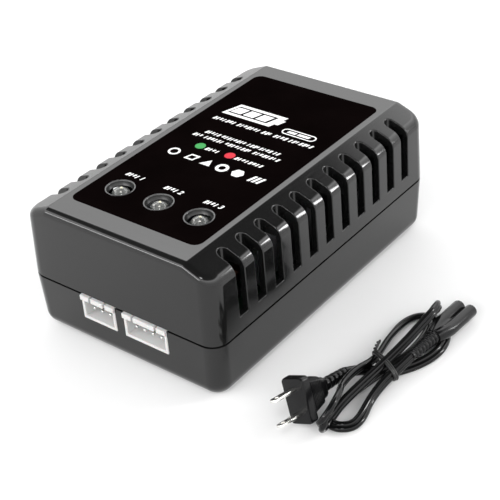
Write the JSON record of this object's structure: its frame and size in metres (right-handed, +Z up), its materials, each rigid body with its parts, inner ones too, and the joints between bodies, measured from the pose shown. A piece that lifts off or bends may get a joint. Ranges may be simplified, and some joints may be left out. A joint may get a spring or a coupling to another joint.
{
  "type": "balance battery charger",
  "caption": "Compact mains balance charger with vented two-part housing, balance sockets, status lamps and a folded two-core power lead.",
  "frame": {"origin": "on the standing surface, under the middle of the housing", "axes": "+X across the housing towards the lead, +Y along it towards the mains inlet, +Z up; the balance sockets face -Y"},
  "size_m": [0.0891, 0.0908, 0.0349],
  "materials": {
    "housing_black": "glossy black",
    "label_black": "glossy black film with white print",
    "rim_grey": "dark grey",
    "lamp_clear": "clear epoxy",
    "nylon_white": "natural white nylon",
    "tinned_pin": "bright tin",
    "inlet_black": "matt black",
    "board_green": "solder mask",
    "ferrite": "grey ferrite",
    "tape_dark": "polyester tape",
    "moulded_black": "moulded case",
    "capacitor_sleeve": "shrink sleeve",
    "film_grey": "potted box",
    "disc_blue": "dipped disc",
    "fuse_glass": "glass tube with bright caps",
    "tab_metal": "bare tab",
    "winding_copper": "enamelled copper",
    "barrier_white": "insulating sheet",
    "screw_steel": "zinc plated",
    "lead_black": "black pvc",
    "cord_black": "black pvc cable",
    "tie_black": "bag tie",
    "blade_nickel": "nickel plated brass"
  },
  "bodies": {
    "charger": {"upper_shell": "housing_black", "lower_shell": "housing_black", "face_label": "label_black", "lamp_rim_1": "rim_grey", "lamp_rim_2": "rim_grey", "lamp_rim_3": "rim_grey", "cell_lamp_1": "lamp_clear", "cell_lamp_2": "lamp_clear", "cell_lamp_3": "lamp_clear", "balance_socket_2s": "nylon_white", "balance_socket_3s": "nylon_white", "socket_pins_2s": "tinned_pin", "socket_pins_3s": "tinned_pin", "mains_inlet": "inlet_black", "inlet_pins": "tinned_pin", "main_board": "board_green", "transformer_core": "ferrite", "transformer_winding": "tape_dark", "transformer_base": "moulded_black", "bulk_capacitor": "capacitor_sleeve", "filter_capacitor": "film_grey", "surge_varistor": "disc_blue", "mains_fuse": "fuse_glass", "bridge_rectifier": "moulded_black", "safety_capacitor": "disc_blue", "switching_chip": "moulded_black", "opto_coupler": "moulded_black", "output_rectifier": "moulded_black", "output_rectifier_tab": "tab_metal", "output_capacitors": "capacitor_sleeve", "choke_coil": "winding_copper", "charge_controllers": "moulded_black", "sense_resistors": "moulded_black", "barrier_sheet": "barrier_white", "housing_screws": "screw_steel", "board_screws": "screw_steel"},
    "power_lead": {"lead_connector": "lead_black", "lead_contacts": "tinned_pin", "lead_connector_relief": "lead_black", "wall_plug": "lead_black", "wall_plug_relief": "lead_black", "plug_blades": "blade_nickel", "cord_hank": "cord_black", "cord_tie": "tie_black"}
  },
  "joints": [
    {"name": "lead_lift", "type": "slide", "parent": "charger", "child": "power_lead", "axis": [0, 0, 1], "range_m": [0, 0.05]}
  ]
}
